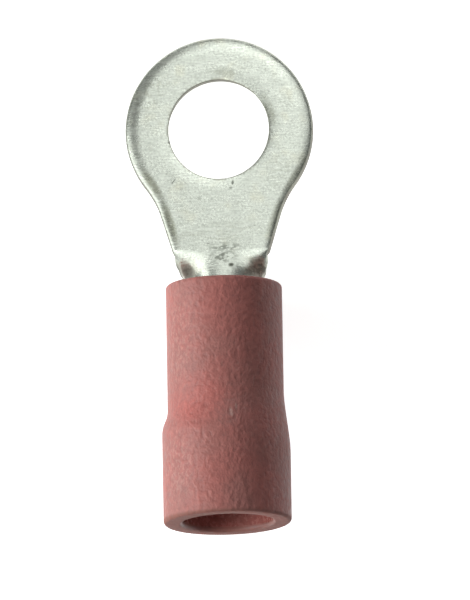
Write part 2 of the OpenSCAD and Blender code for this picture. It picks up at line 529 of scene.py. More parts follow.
@dataclass(frozen=True)
class SoftPlastic:
    """Matte red insulating plastic whose fine leathery skin runs along the sleeve."""

    lay: Lay
    colour: Colour = (0.37, 0.128, 0.108, 1.0)
    warm: Colour = (0.42, 0.115, 0.095, 1.0)
    dull: Colour = (0.31, 0.130, 0.110, 1.0)
    red: Colour = (0.47, 0.11, 0.09, 1.0)
    # Pale colour of dust specks, of painted sheen and of a painted glint.
    pale: Colour = (0.66, 0.44, 0.38, 1.0)
    # Colour of the rear cut end: painted shade, darker than the plastic's own colour.
    cut: Colour = (0.20, 0.080, 0.055, 1.0)
    roughness: float = 0.50
    skin: Triple = (5.4, 4.4, 5.4)  # grains to a millimetre
    fold: Triple = (3.2, 1.7, 3.2)
    relief: float = 0.058
    bump_strength: float = 0.9
    cloud: Triple = (0.45, 0.38, 0.64)  # to a millimetre, and the noise levels from clear to full
    cloud_share: float = 0.35
    # How far the rear cut end takes its painted shade colour and its added roughness.
    cut_share: float = 0.62
    tone_shares: Pair = (0.60, 0.25)  # of the skin and the folds
    rough_shares: Triple = (0.5, 0.35, -0.26)  # of the skin, the cut end and the inside
    fold_height: float = 0.6  # on top of the skin
    inside_height: float = -0.95
    cut_from: Pair = (-16.56, -16.70)  # where the cut end starts and is full
    inside_r: Pair = (2.06, 1.98)  # inwards of this the wall is smoother
    reddened: tuple[Mark, ...] = (Mark((-0.95, -12.0, 1.0), (1.7, 1.7, 1.7), 0.50),)
    # Pale marks: dust specks, painted sheen on the lit left side and a painted glint.
    scuffs_and_sheen: tuple[Mark, ...] = (
        # Pale specks on the left side: dust, set there to add to the side's sheen, so partly painted sheen.
        Mark((-1.75, -9.0, 0.3), (1.3, 3.2, 2.0), 0.17, broken=1.0, per_mm=(8.0, 5.0, 8.0), gap=0.50),
        Mark((-1.75, -14.6, 0.3), (1.4, 2.6, 2.0), 0.19, broken=1.0, per_mm=(8.0, 5.0, 8.0), gap=0.50),
        # Pale dust specks over the top of the sleeve.
        Mark((0.3, -12.0, 1.0), (2.2, 5.5, 2.0), 0.12, broken=1.0, per_mm=(7.0, 4.5, 7.0), gap=0.60),
        # Painted highlight: a short glint near the top of the flare, drawn as a pale stroke.
        Mark((0.42, -12.45, 1.3), (0.1, 0.3, 1.0), 0.6, turn=0.2, broken=0.5, per_mm=(9.0,) * 3, gap=0.42),
        Mark((0.62, -12.20, 1.3), (0.06, 0.20, 1.0), 0.40, turn=0.1),
    )

    def material(self, groups: Groups) -> Material:
        """Builds the material.

        Args:
            groups: The shared shader groups.

        Returns:
            The finished material, which reads Object coordinates.
        """
        made, graph = new_material("red sleeve plastic")
        links = {
            "Vector": graph.node("ShaderNodeTexCoord").outputs["Object"],
            "Rotation": (self.lay.pitch, 0.0, 0.0),
            "Scale": (1 / MM,) * 3,
        }
        at = graph.result("ShaderNodeMapping", links)
        skin, fold = (groups.grained(graph, at, per_mm) for per_mm in (self.skin, self.fold))
        tone = graph.blend(graph.clouds(at, *self.cloud), self.dull, self.warm)
        tone = graph.blend(self.cloud_share, self.colour, tone)
        tone = graph.blend(groups.marked(graph, at, self.reddened), tone, self.red)
        # Pale marks: dust, painted sheen and a painted glint.
        tone = graph.blend(groups.marked(graph, at, self.scuffs_and_sheen), tone, self.pale)
        along = graph.node("ShaderNodeSeparateXYZ", {0: at}).outputs["Y"]
        # The rear cut end: painted shade in its colour, and rougher.
        end = graph.math("MULTIPLY", graph.ramp(along, *self.cut_from), self.cut_share)
        shade = graph.layered(1.0, *zip((skin["Fine"], fold["Fine"]), self.tone_shares))
        from_axis = graph.vector_math("ADD", at, (0.0, 0.0, self.lay.barrel_drop / MM))
        radius = graph.length(graph.vector_math("MULTIPLY", from_axis, (1.0, 0.0, 1.0)))
        inside = graph.ramp(radius, *self.inside_r)
        height = graph.layered(skin["Fine"], (fold["Fine"], self.fold_height))
        height = graph.math("MULTIPLY", height, graph.layered(1.0, (inside, self.inside_height)))
        links = {
            "Base Color": graph.scaled(graph.blend(end, tone, self.cut), shade),
            "Roughness": graph.layered(self.roughness, *zip((skin["Fine"], end, inside), self.rough_shares)),
            "Normal": graph.bump(height, self.bump_strength, self.relief),
        }
        graph.surface(graph.node("ShaderNodeBsdfPrincipled", links))
        return made


# ---- Geometry trees ----


class GeometryRecipe:
    """A geometry node tree with named inputs, run on a mesh and applied."""

    def __init__(self, name: str, values: dict[str, float | int], finish: Material) -> None:
        """Starts the tree.

        Args:
            name: The tree's name.
            values: For each number input's name, the value to run it with.
            finish: The material that the result gets.
        """
        self.tree = bpy.data.node_groups.new(name, "GeometryNodeTree")
        for way in ("INPUT", "OUTPUT"):
            self.tree.interface.new_socket(name="Geometry", in_out=way, socket_type="NodeSocketGeometry")
        kinds = {int: "NodeSocketInt", float: "NodeSocketFloat", Material: "NodeSocketMaterial"}
        self.values = {}
        for key, value in {**values, "Finish": finish}.items():
            made = self.tree.interface.new_socket(name=key, in_out="INPUT", socket_type=kinds[type(value)])
            self.values[made.identifier] = value
        self.graph = Graph(self.tree)
        given = self.graph.node("NodeGroupInput")
        self.given = {s.name: s for s in given.outputs if s.name}

    def end(self, geometry: Socket) -> None:
        """Closes the tree with Realize Instances and Set Material.

        Args:
            geometry: The socket of the finished geometry.
        """
        real = self.graph.result("GeometryNodeRealizeInstances", {"Geometry": geometry})
        links = {"Geometry": real, "Material": self.given["Finish"]}
        dressed = self.graph.result("GeometryNodeSetMaterial", links)
        self.graph.node("NodeGroupOutput", {"Geometry": dressed})

    def run(self, mesh: Mesh, name: str) -> Mesh:
        """Runs the tree on a mesh, which is used up.

        Args:
            mesh: What goes in.
            name: The result's name.

        Returns:
            A plain mesh of the result.
        """
        holder = linked(name + "_recipe", mesh)
        modifier = holder.modifiers.new("recipe", "NODES")
        modifier.node_group = self.tree
        for identifier, value in self.values.items():
            modifier[identifier] = value
        depsgraph = bpy.context.evaluated_depsgraph_get()
        result = bpy.data.meshes.new_from_object(holder.evaluated_get(depsgraph), depsgraph=depsgraph)
        result.name = name
        bpy.data.objects.remove(holder)
        bpy.data.meshes.remove(mesh)
        return result


def show_piece(name: str, mesh: Mesh, lay: Lay, slot: Slot) -> Object:
    """Lays a mesh down, and makes it a piece that stands for the CAD node of the same name.

    Args:
        name: The node's name, and the start of the piece's.
        mesh: The piece's mesh in the maker's frame.
        lay: The rest pose.
        slot: The record's material slot, which is only logged.

    Returns:
        The piece, riding on the part's only body.
    """
    mesh.transform(lay.matrix())
    piece = linked(name + "_shown", mesh)
    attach(piece, BODY)
    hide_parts(name)
    points, faces = len(mesh.vertices), len(mesh.polygons)
    LOG.info("%s: %d points, %d faces, slot %s", piece.name, points, faces, slot.value)
    return piece


# ---- The metal ----


@dataclass
class RingTerminal:
    """The strip: ring, flanks, neck and the wings that curl into the barrel.

    It is drawn flat first, as (across, along, out) with out counted from the middle of its thickness,
    and a geometry node tree then curls it.
    """

    lay: Lay
    flank_angle: float = math.radians(36.5)
    neck_angle: float = math.radians(17.0)
    neck_half: float = 2.08
    fold_half: float = 1.94
    fold_l: float = 0.3
    bend_r: float = 5.0
    bend_room: float = 0.95  # share of the straight sides that the hollow may use
    curl_l: float = 1.3
    curl_end: float = 0.0
    least_curl: float = 0.1  # 1/m, so that the tree never divides by nought
    wing_lead: float = 0.62
    wing_l: float = 0.8
    barrel_l: float = 5.0
    seam_gap: float = 0.06
    roll_w: float = 0.62  # the rounded upper edge, at the ring
    roll_w_neck: float = 0.36
    roll_slope: float = math.radians(27.0)
    corner_r: float = 0.06
    cut_w: float = 0.05
    dish_w: float = 0.62
    dish_h: float = 0.045
    lip_r: float = 0.05
    lip_share: float = 0.7  # of a quarter round
    break_out: float = 0.07
    edge_step: float = 0.06
    arc_steps: int = 24
    fold_steps: int = 8
    smooth_below: float = math.radians(35.0)
    # Lines of points inside the outline, as shares of those widths, and rings round the hole
    corner_shares: tuple[float, ...] = (0.04, 0.13, 0.3, 0.55, 1.0)
    roll_shares: tuple[float, ...] = (0.22, 0.33, 0.46, 0.6, 0.8, 1.0)
    hole_depths: tuple[float, ...] = (0.12, 0.22, 0.35, 0.52)
    ring_r: float = field(init=False)
    hole_r: float = field(init=False)
    bore_r: float = field(init=False)
    strip_t: float = field(init=False)
    reach: float = field(init=False)
    mid_r: float = field(init=False)
    wing_half: float = field(init=False)

    def __post_init__(self) -> None:
        """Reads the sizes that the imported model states."""
        low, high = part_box("ring_terminal")
        self.ring_r = (high.x - low.x) / 2 / MM
        self.hole_r = mount("stud_hole")["dims"]["r_mm"]
        self.bore_r = mount("wire_barrel")["dims"]["r_mm"]
        self.strip_t = (place_of("tongue_upper") - place_of("tongue_under")).dot(axis_of("stud_hole")) / MM
        self.reach = self.lay.reach / MM
        self.mid_r = self.bore_r + self.strip_t / 2
        self.wing_half = math.pi * self.mid_r - self.seam_gap / 2

    def half_outline(self) -> list[Pair]:
        """Draws the right half of the strip's outline.

        Returns:
            Points (across, along) from the ring's tip down to the middle of the barrel's rear edge.
        """
        fa, na = self.flank_angle, self.neck_angle
        leave = (self.ring_r * math.cos(fa), self.reach - self.ring_r * math.sin(fa))
        meet_y = leave[0] - leave[1] * math.tan(fa) - self.neck_half + self.curl_l * math.tan(na)
        meet_y /= math.tan(na) - math.tan(fa)
        meet_x = self.neck_half + (meet_y - self.curl_l) * math.tan(na)
        straight = min((leave[1] - meet_y) / math.cos(fa), (meet_y - self.curl_l) / math.cos(na))
        hollow_r = min(self.bend_r, self.bend_room * straight / math.tan((fa - na) / 2))
        run = hollow_r * math.tan((fa - na) / 2)
        centre = (
            meet_x - run * math.sin(na) + hollow_r * math.cos(na),
            meet_y - run * math.cos(na) - hollow_r * math.sin(na),
        )
        steps = math.ceil(self.ring_r * (math.pi / 2 + fa) / self.edge_step)
        turns = [math.pi / 2 - (math.pi / 2 + fa) * i / steps for i in range(steps + 1)]
        corners = [(self.ring_r * math.cos(a), self.reach + self.ring_r * math.sin(a)) for a in turns]
        steps = self.arc_steps
        turns = [fa + (na - fa) * i / steps for i in range(steps + 1)]
        corners += [(centre[0] - hollow_r * math.cos(a), centre[1] + hollow_r * math.sin(a)) for a in turns]
        for i in range(self.fold_steps + 1):
            drawn_in = self.neck_half + (self.fold_half - self.neck_half) * ease(i / self.fold_steps)
            corners.append((drawn_in, self.curl_l - self.fold_l * i / self.fold_steps))
        corners.append((self.fold_half, self.wing_lead))
        for i in range(1, steps + 1):
            grown = self.fold_half + (self.wing_half - self.fold_half) * ease(i / steps)
            corners.append((grown, self.wing_lead - self.wing_l * i / steps))
        corners += [(self.wing_half, -self.barrel_l), (0.0, -self.barrel_l)]
        return spaced(corners, self.edge_step)

    def outline(self) -> np.ndarray:
        """Draws the whole outline of the flat strip.

        Returns:
            A closed, clockwise loop of points.
        """
        right = self.half_outline()
        left = [(-x, y) for x, y in reversed(right[1:-1])]
        return np.array(right + left)

    def hole(self) -> np.ndarray:
        """Draws the stud hole's edge.

        Returns:
            A closed loop of points.
        """
        steps = math.ceil(2 * math.pi * self.hole_r / self.edge_step)
        turns = [2 * math.pi * i / steps for i in range(steps)]
        return np.array([(self.hole_r * math.cos(a), self.reach + self.hole_r * math.sin(a)) for a in turns])

    def fall(self, along: np.ndarray, to_edge: np.ndarray, to_hole: np.ndarray) -> np.ndarray:
        """Works out how far the upper face lies below the strip's full thickness.

        Args:
            along: Place along the strip, from which the rounding narrows towards the neck.
            to_edge: Distance from the outline.
            to_hole: Distance from the stud hole's edge.

        Returns:
            The depth of the rounded outer edge, of the dish that punching leaves round the hole, and
            of the small lip at the hole itself.
        """
        share = np.clip((along - self.curl_l) / (self.reach - self.curl_l), 0, 1)
        wide = self.roll_w_neck + (self.roll_w - self.roll_w_neck) * share * share * (3 - 2 * share)
        u = np.clip(1 - to_edge / wide, 0, 1)
        edge = wide * math.tan(self.roll_slope) * u**2 / 2
        w = np.clip(1 - to_edge / self.corner_r, 0, 1)
        edge += self.corner_r * (1 - np.sqrt(1 - w * w))
        dish = self.dish_h * np.clip(1 - to_hole / self.dish_w, 0, 1) ** 2
        v = np.clip(1 - to_hole / self.lip_r, 0, 1)
        lip = self.lip_r * (1 - np.sqrt(1 - v * v)) * self.lip_share
        return edge + dish + lip

    def scatter(self) -> tuple[np.ndarray, list[tuple[int, int]]]:
        """Chooses the points of the flat strip, dense along its edges and over the curl.

        Returns:
            The points, and the pairs of them that are edges of the outline and the hole.
        """
        outer, hole = self.outline(), self.hole()
        n, m = len(outer), len(hole)
        pairs = [(i, (i + 1) % n) for i in range(n)] + [(n + i, n + (i + 1) % m) for i in range(m)]
        depths = [share * self.corner_r for share in self.corner_shares]
        depths += [share * self.roll_w for share in self.roll_shares]
        loose = [moved_in(outer, depth) for depth in depths]
        rings = (0.4 * self.lip_r, self.lip_r, *self.hole_depths, self.dish_w)
        loose += [self.hole_ring(depth) for depth in rings]
        fine_low, fine_high = -0.4, 1.8
        for half, start, end, dx, dy in (
            (self.wing_half, -self.barrel_l, fine_low, 0.14, 0.45),
            (self.wing_half, fine_low, fine_high, 0.12, 0.07),
            (self.ring_r, fine_high, self.reach + self.ring_r, 0.2, 0.2),
        ):
            loose.append(lattice(-half, half, start, end, dx, dy))
        extra = np.vstack(loose)
        inside = within(extra, outer) & ~within(extra, hole)
        least = 0.3 * self.corner_shares[0] * self.corner_r
        clear = np.minimum(distance_to(extra, outer), distance_to(extra, hole)) > least
        extra = thinned(extra[inside & clear], outer, self.roll_w)
        return np.vstack([outer, hole, extra]), pairs

    def hole_ring(self, out: float) -> np.ndarray:
        """Returns a ring of points at a distance outside the stud hole's edge."""
        centre = np.array([0.0, self.reach])
        return centre + (self.hole() - centre) * (1 + out / self.hole_r)

    def flat_mesh(self) -> Mesh:
        """Builds the flat strip from two sheets of triangles, joined along their edges.

        Returns:
            The mesh, in metres. Its UV map keeps the flat places in millimetres, and an attribute is 1
            at the sheared sides.
        """
        points, pairs = self.scatter()
        verts, _, faces, *_ = delaunay_2d_cdt([Vector(p) for p in points], pairs, [], 1, 1e-6)
        flat = np.array([(v.x, v.y) for v in verts])
        to_hole = np.linalg.norm(flat - np.array([0.0, self.reach]), axis=1) - self.hole_r
        to_edge = distance_to(flat, self.outline())
        top = self.strip_t / 2 - self.fall(flat[:, 1], to_edge, np.maximum(to_hole, 0))
        low = -self.strip_t / 2 * MM
        work = bmesh.new()
        cut = work.verts.layers.float.new(CUT_SIDE)
        upper = [work.verts.new((x * MM, y * MM, z * MM)) for (x, y), z in zip(flat, top)]
        lower = [work.verts.new((x * MM, y * MM, low)) for x, y in self.broken_out(flat, to_hole)]
        shares = np.clip(1 - np.minimum(to_edge, np.maximum(to_hole, 0)) / self.cut_w, 0, 1)
        for top_vert, low_vert, share in zip(upper, lower, shares):
            top_vert[cut] = low_vert[cut] = float(share)
        for face in faces:
            if np.mean(to_hole[list(face)]) < 0:
                continue
            work.faces.new([upper[i] for i in face])
            work.faces.new([lower[i] for i in reversed(face)])
        opposite = dict(zip(upper, lower))
        rims = [e for e in work.edges if e.is_boundary and e.verts[0] in opposite]
        for edge in rims:
            a, b = edge.link_loops[0].vert, edge.link_loops[0].link_loop_next.vert
            work.faces.new([b, a, opposite[a], opposite[b]])
        loose = [v for v in work.verts if not v.link_faces]
        bmesh.ops.delete(work, geom=loose, context="VERTS")
        layer = work.loops.layers.uv.new(STRIP_MAP)
        for face in work.faces:
            for loop in face.loops:
                loop[layer].uv = (loop.vert.co.x / MM, loop.vert.co.y / MM)
        mesh = bpy.data.meshes.new("flat_strip")
        work.to_mesh(mesh)
        work.free()
        return mesh

    def broken_out(self, flat: np.ndarray, to_hole: np.ndarray) -> np.ndarray:
        """Moves the lower points next to the stud hole outwards, where the punch broke out of the strip.

        Args:
            flat: Places on the flat strip.
            to_hole: Their distances from the hole's edge.

        Returns:
            The moved places.
        """
        centre = np.array([0.0, self.reach])
        away = (flat - centre) / np.maximum(np.linalg.norm(flat - centre, axis=1), 1e-9)[:, None]
        share = np.clip(1 - np.maximum(to_hole, 0) / (3 * self.break_out), 0, 1)
        return flat + away * (share * self.break_out)[:, None]

    def curl_recipe(self, finish: Material) -> GeometryRecipe:
        """Builds the tree that curls the flat strip into the barrel.

        Args:
            finish: The strip's material.

        Returns:
            The recipe, ready to run.
        """
        values = {
            "Middle radius": self.mid_r * MM,
            "Curl start": self.curl_l * MM,
            "Curl end": self.curl_end * MM,
            "Least curl": self.least_curl,
        }
        recipe = GeometryRecipe("Curl the strip", values, finish)
        g, given = recipe.graph, recipe.given
        place = g.node("ShaderNodeSeparateXYZ", {0: g.result("GeometryNodeInputPosition")}).outputs
        links = {
            "Value": place["Y"],
            "From Min": given["Curl start"],
            "From Max": given["Curl end"],
            "To Min": 0.0,
            "To Max": g.math("DIVIDE", 1.0, given["Middle radius"]),
        }
        curl = g.result("ShaderNodeMapRange", links, interpolation_type="SMOOTHSTEP")
        curl = g.math("MAXIMUM", curl, given["Least curl"])
        turn = g.math("MULTIPLY", curl, place["X"])
        sine, cosine = g.math("SINE", turn), g.math("COSINE", turn)
        across = g.math("ADD", g.math("DIVIDE", sine, curl), g.math("MULTIPLY", place["Z"], sine))
        drop = g.math("DIVIDE", g.math("SUBTRACT", 1.0, cosine), curl)
        middle = g.math("SUBTRACT", given["Middle radius"], drop)
        up = g.math("ADD", middle, g.math("MULTIPLY", place["Z"], cosine))
        bent = g.result("ShaderNodeCombineXYZ", {0: across, 1: place["Y"], 2: up})
        recipe.end(g.result("GeometryNodeSetPosition", {"Geometry": given["Geometry"], "Position": bent}))
        return recipe

    def build(self, finish: Material) -> Object:
        """Makes the piece.

        Args:
            finish: The strip's material.

        Returns:
            The piece that stands for the CAD node ring_terminal.
        """
        mesh = self.curl_recipe(finish).run(self.flat_mesh(), "ring_terminal")
        mesh.shade_smooth()
        mesh.set_sharp_from_angle(angle=self.smooth_below)
        return show_piece("ring_terminal", mesh, self.lay, Slot.METAL)


# ---- Points of a flat shape ----


def spaced(corners: list[Pair], step: float) -> list[Pair]:
    """Fills the long straight runs of a polyline.

    Args:
        corners: The polyline.
        step: About how far apart its points come to lie.

    Returns:
        The polyline with the added points.
    """
    out = [corners[0]]
    for (x0, y0), (x1, y1) in zip(corners, corners[1:]):
        parts = max(1, round(math.hypot(x1 - x0, y1 - y0) / step))
        out += [(x0 + (x1 - x0) * i / parts, y0 + (y1 - y0) * i / parts) for i in range(1, parts + 1)]
    return out


def moved_in(loop: np.ndarray, depth: float) -> np.ndarray:
    """Moves each point of a clockwise loop into it, square to its neighbours.

    Args:
        loop: The loop.
        depth: How far its points move.

    Returns:
        The moved points.
    """
    along = np.roll(loop, -1, 0) - np.roll(loop, 1, 0)
    along /= np.linalg.norm(along, axis=1)[:, None]
    return loop + depth * np.column_stack([along[:, 1], -along[:, 0]])


def lattice(x0: float, x1: float, y0: float, y1: float, dx: float, dy: float) -> np.ndarray:
    """Lays a grid over a rectangle, with every second row shifted by half a step.

    Args:
        x0, x1: The rectangle's sides.
        y0, y1: Its ends.
        dx, dy: Steps of the grid.

    Returns:
        The grid's points.
    """
    rows = []
    for k, y in enumerate(np.arange(y0, y1, dy)):
        xs = np.arange(x0, x1, dx) + (k % 2) * dx / 2
        rows.append(np.column_stack([xs, np.full_like(xs, y)]))
    return np.vstack(rows)


def distance_to(points: np.ndarray, loop: np.ndarray) -> np.ndarray:
    """Measures how far points are from a closed loop.

    Args:
        points: The points.
        loop: The loop.

    Returns:
        Each point's distance to the loop's nearest side.
    """
    best = np.full(len(points), np.inf)
    for a, b in zip(loop, np.roll(loop, -1, 0)):
        side = b - a
        t = np.clip(((points - a) @ side) / (side @ side), 0, 1)
        best = np.minimum(best, np.linalg.norm(points - a - t[:, None] * side, axis=1))
    return best


def within(points: np.ndarray, loop: np.ndarray) -> np.ndarray:
    """Finds the points inside a closed loop.

    Args:
        points: The points.
        loop: The loop.

    Returns:
        True for each point that lies inside.
    """
    hits = np.zeros(len(points), bool)
    for (x0, y0), (x1, y1) in zip(loop, np.roll(loop, -1, 0)):
        if y0 == y1:
            continue
        spans = (points[:, 1] >= min(y0, y1)) & (points[:, 1] < max(y0, y1))
        x = x0 + (points[:, 1] - y0) / (y1 - y0) * (x1 - x0)
        hits ^= spans & (points[:, 0] < x)
    return hits


def thinned(points: np.ndarray, loop: np.ndarray, margin: float) -> np.ndarray:
    """Drops points that crowd each other: each square of a fine net keeps its first point.

    Args:
        points: The points.
        loop: The outline near which they may be closer together.
        margin: How far from the outline that band reaches.

    Returns:
        The points that stay.
    """
    fine, coarse = 0.008, 0.05
    near = distance_to(points, loop) < margin
    size = np.where(near, fine, coarse)
    keys = np.floor(points / size[:, None]).astype(int)
    seen, keep = set(), []
    for i, key in enumerate(zip(near, keys[:, 0], keys[:, 1])):
        if key not in seen:
            seen.add(key)
            keep.append(i)
    return points[keep]


# ---- The sleeve ----


@dataclass
class InsulatingSleeve:
    """The sleeve: a tube whose rear part is swollen to take the wire's insulation.

    The flare is longer on the side of +X, the rear is cut a little askew, and the wall is uneven, as on
    a soft sleeve.
    """

    lay: Lay
    front_r: float = 2.48
    clearance: float = 0.02
    flare_mid: float = 5.93
    flare_l: float = 1.9
    flare_lean: float = 0.55  # how much longer the flare is on one side
    flare_reach: float = 1.7
    funnel_l: float = 1.4
    rim_r: float = 0.16
    lip_l: float = 0.18  # length of the rim inside the entry
    front_chamfer: Pair = (0.04, 0.1)
    rim_steps: int = 6
    wall_steps: int = 20
    flare_steps: int = 24
    funnel_steps: int = 12
    turns: int = 240
    wave: float = 0.012
    waves_per_m: float = 420.0
    skew_up: float = 0.05
    skew_side: float = 0.04
    skew_l: float = 2.5
    barrel_l: float = 5.0
    seed: float = 3.0
    entry_r: float = field(init=False)
    entry_bore_r: float = field(init=False)
    bore_r: float = field(init=False)
    length: float = field(init=False)

    def __post_init__(self) -> None:
        """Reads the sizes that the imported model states."""
        low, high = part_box("insulating_sleeve")
        self.entry_r = (high.x - low.x) / 2 / MM
        self.entry_bore_r = mount("wire_entry")["dims"]["r_mm"]
        barrel = (place_of("tongue_upper") - place_of("wire_barrel")).dot(axis_of("stud_hole"))
        self.bore_r = barrel / MM + self.clearance
        rear = farthest("insulating_sleeve", axis_of("wire_entry"))
        self.length = rear / MM - self.lay.reach / MM

    def rim(self, radius: float, back: float, start: float, reach: float) -> list[Pair]:
        """Draws a quarter round.

        Args:
            radius: Its centre's distance from the axis.
            back: Its centre's distance behind the front.
            start: The angle at which it starts, in degrees; it ends 90 degrees lower.
            reach: Its half size along the axis.

        Returns:
            Points (radius, distance behind the front).
        """
        steps = self.rim_steps
        turns = [math.radians(start - 90.0 * i / steps) for i in range(steps + 1)]
        return [(radius + self.rim_r * math.cos(a), back - reach * math.sin(a)) for a in turns]

    def profile(self) -> list[Pair]:
        """Draws the section of the tube's wall.

        Returns:
            Points (radius, distance behind the front), round the wall from the inner front edge.
        """
        r, steps = self.rim_r, self.wall_steps
        points = [(self.bore_r, self.front_chamfer[1]), (self.bore_r + self.front_chamfer[0], 0.0)]
        points += self.rim(self.front_r - r, r, 90.0, r)
        straight = self.flare_mid - self.flare_l / 2
        points += [(self.front_r, r + (straight - r) * i / steps) for i in range(1, steps)]
        for i in range(self.flare_steps + 1):
            swell = self.front_r + (self.entry_r - self.front_r) * ease(i / self.flare_steps)
            points.append((swell, straight + self.flare_l * i / self.flare_steps))
        start, rear = straight + self.flare_l, self.length - r
        points += [(self.entry_r, start + (rear - start) * i / steps) for i in range(1, steps)]
        points += self.rim(self.entry_r - r, rear, 0.0, r)
        rear = self.length - self.lip_l
        points += self.rim(self.entry_bore_r + r, rear, -90.0, self.lip_l)
        funnel, steps = self.barrel_l + self.funnel_l, self.funnel_steps
        points += [(self.entry_bore_r, rear + (funnel - rear) * i / steps) for i in range(1, steps + 1)]
        return [*points, (self.bore_r, self.barrel_l)]

    def line_mesh(self) -> Mesh:
        """Builds the section as loose points, in metres: radius along X, distance back along Z.

        Returns:
            The mesh.
        """
        mesh = bpy.data.meshes.new("sleeve_section")
        mesh.from_pydata([(r * MM, 0.0, back * MM) for r, back in self.profile()], [], [])
        return mesh

    def turn_recipe(self, finish: Material, count: int) -> GeometryRecipe:
        """Builds the tree that turns the section round the barrel's axis.

        The section's points are sampled on a grid of turns by points.

        Args:
            finish: The sleeve's material.
            count: Number of points in the section.

        Returns:
            The recipe, ready to run.
        """
        values = {
            "Turns": self.turns,
            "Section points": count,
            "Flare middle": self.flare_mid * MM,
            "Flare reach": self.flare_reach * MM,
            "Flare lean": self.flare_lean,
            "Rear": self.length * MM,
            "Skew length": self.skew_l * MM,
            "Skew up": self.skew_up * MM,
            "Skew aside": self.skew_side * MM,
            "Wave": self.wave * MM,
            "Seed": self.seed,
        }
        recipe = GeometryRecipe("Turn the sleeve", values, finish)
        g, given = recipe.graph, recipe.given
        position = g.result("GeometryNodeInputPosition")
        rows = g.math("ADD", given["Section points"], 1.0)
        links = {"Vertices X": g.math("ADD", given["Turns"], 1.0), "Vertices Y": rows}
        grid = g.result("GeometryNodeMeshGrid", links)
        index = g.result("GeometryNodeInputIndex")
        turn = g.math("FLOOR", g.math("DIVIDE", g.math("ADD", index, 0.5), rows))
        step = g.math("FLOOR", g.math("ADD", g.math("SUBTRACT", index, g.math("MULTIPLY", turn, rows)), 0.5))
        step = g.math("MODULO", step, given["Section points"])
        links = {"Geometry": given["Geometry"], "Value": position, "Index": step}
        section = g.result("GeometryNodeSampleIndex", links, data_type="FLOAT_VECTOR")
        part = g.node("ShaderNodeSeparateXYZ", {0: section}).outputs
        angle = g.math("DIVIDE", g.math("MULTIPLY", turn, 2 * math.pi), given["Turns"])
        angle = g.math("MULTIPLY", angle, -1.0)
        sine, cosine = g.math("SINE", angle), g.math("COSINE", angle)
        off = g.math("SUBTRACT", part["Z"], given["Flare middle"])
        share = g.math("DIVIDE", off, given["Flare reach"])
        window = g.math("EXPONENT", g.math("MULTIPLY", g.math("MULTIPLY", share, share), -1.0))
        lean = g.math("MULTIPLY", g.math("MULTIPLY", given["Flare lean"], cosine), window)
        back = g.math("MULTIPLY_ADD", off, lean, part["Z"])
        left = g.math("DIVIDE", g.math("SUBTRACT", given["Rear"], part["Z"]), given["Skew length"])
        near = g.math("SUBTRACT", 1.0, g.math("MINIMUM", left, 1.0))
        skew = g.math("MULTIPLY", given["Skew up"], sine)
        skew = g.math("MULTIPLY_ADD", given["Skew aside"], cosine, skew)
        back = g.math("SUBTRACT", back, g.math("MULTIPLY", skew, near))
        across, up = (g.math("MULTIPLY", part["X"], way) for way in (cosine, sine))
        place = g.result("ShaderNodeCombineXYZ", {0: across, 1: g.math("MULTIPLY", back, -1.0), 2: up})
        shaped = g.result("GeometryNodeSetPosition", {"Geometry": grid, "Position": place})
        whole = g.result("GeometryNodeMergeByDistance", {"Geometry": shaped, "Distance": SAME_PLACE})
        links = {"Vector": position, "W": given["Seed"], "Scale": self.waves_per_m, "Detail": 1.0}
        waves = g.result("ShaderNodeTexNoise", links, noise_dimensions="4D")
        radial = g.vector_math("NORMALIZE", g.vector_math("MULTIPLY", position, (1.0, 0.0, 1.0)))
        size = g.math("MULTIPLY", g.math("SUBTRACT", waves, 0.5), given["Wave"])
        links = {"Geometry": whole, "Offset": g.scaled(radial, size)}
        uneven = g.result("GeometryNodeSetPosition", links)
        recipe.end(g.result("GeometryNodeSetShadeSmooth", {"Geometry": uneven}))
        return recipe

    def build(self, finish: Material) -> Object:
        """Makes the piece.

        Args:
            finish: The sleeve's material.

        Returns:
            The piece that stands for the CAD node insulating_sleeve.
        """
        section = self.line_mesh()
        mesh = self.turn_recipe(finish, len(section.vertices)).run(section, "insulating_sleeve")
        return show_piece("insulating_sleeve", mesh, self.lay, Slot.PLASTIC)


# ---- Studio ----


def polar(clock: float, off: float) -> Vector:
    """Returns a unit direction, off degrees from +Z and clock degrees round it from +X to +Y."""
    c, o = math.radians(clock), math.radians(off)
    return Vector((math.sin(o) * math.cos(c), math.sin(o) * math.sin(c), math.cos(o)))


@dataclass(frozen=True)
class Lamp:
    """An area lamp aimed at the part.

    Attributes:
        name: What it is called.
        clock: Angle round the view, counted from the right towards the top, in degrees.
        off: Angle away from the view, in degrees.
        distance: Metres from the part.
        size: Its length round the view and its width away from it, in metres.
        power: Watts.
    """

    name: str
    clock: float
    off: float
    distance: float
    size: Pair
    power: float

    def place(self, centre: Vector, view: Matrix) -> Object:
        """Puts the lamp up.

        Args:
            centre: The point that it faces.
            view: Columns: right, up and towards the viewer.

        Returns:
            The lamp.
        """
        data = bpy.data.lights.new(self.name, "AREA")
        data.shape = "RECTANGLE"
        data.size, data.size_y = self.size
        data.energy = self.power
        lamp = linked(self.name, data)
        away = view @ polar(self.clock, self.off)
        round_view = (view @ Vector((0, 0, 1))).cross(away).normalized()
        columns = Matrix((round_view, away.cross(round_view), away)).transposed()
        lamp.matrix_world = Matrix.Translation(centre + away * self.distance) @ columns.to_4x4()
        lamp.visible_camera = False
        return lamp


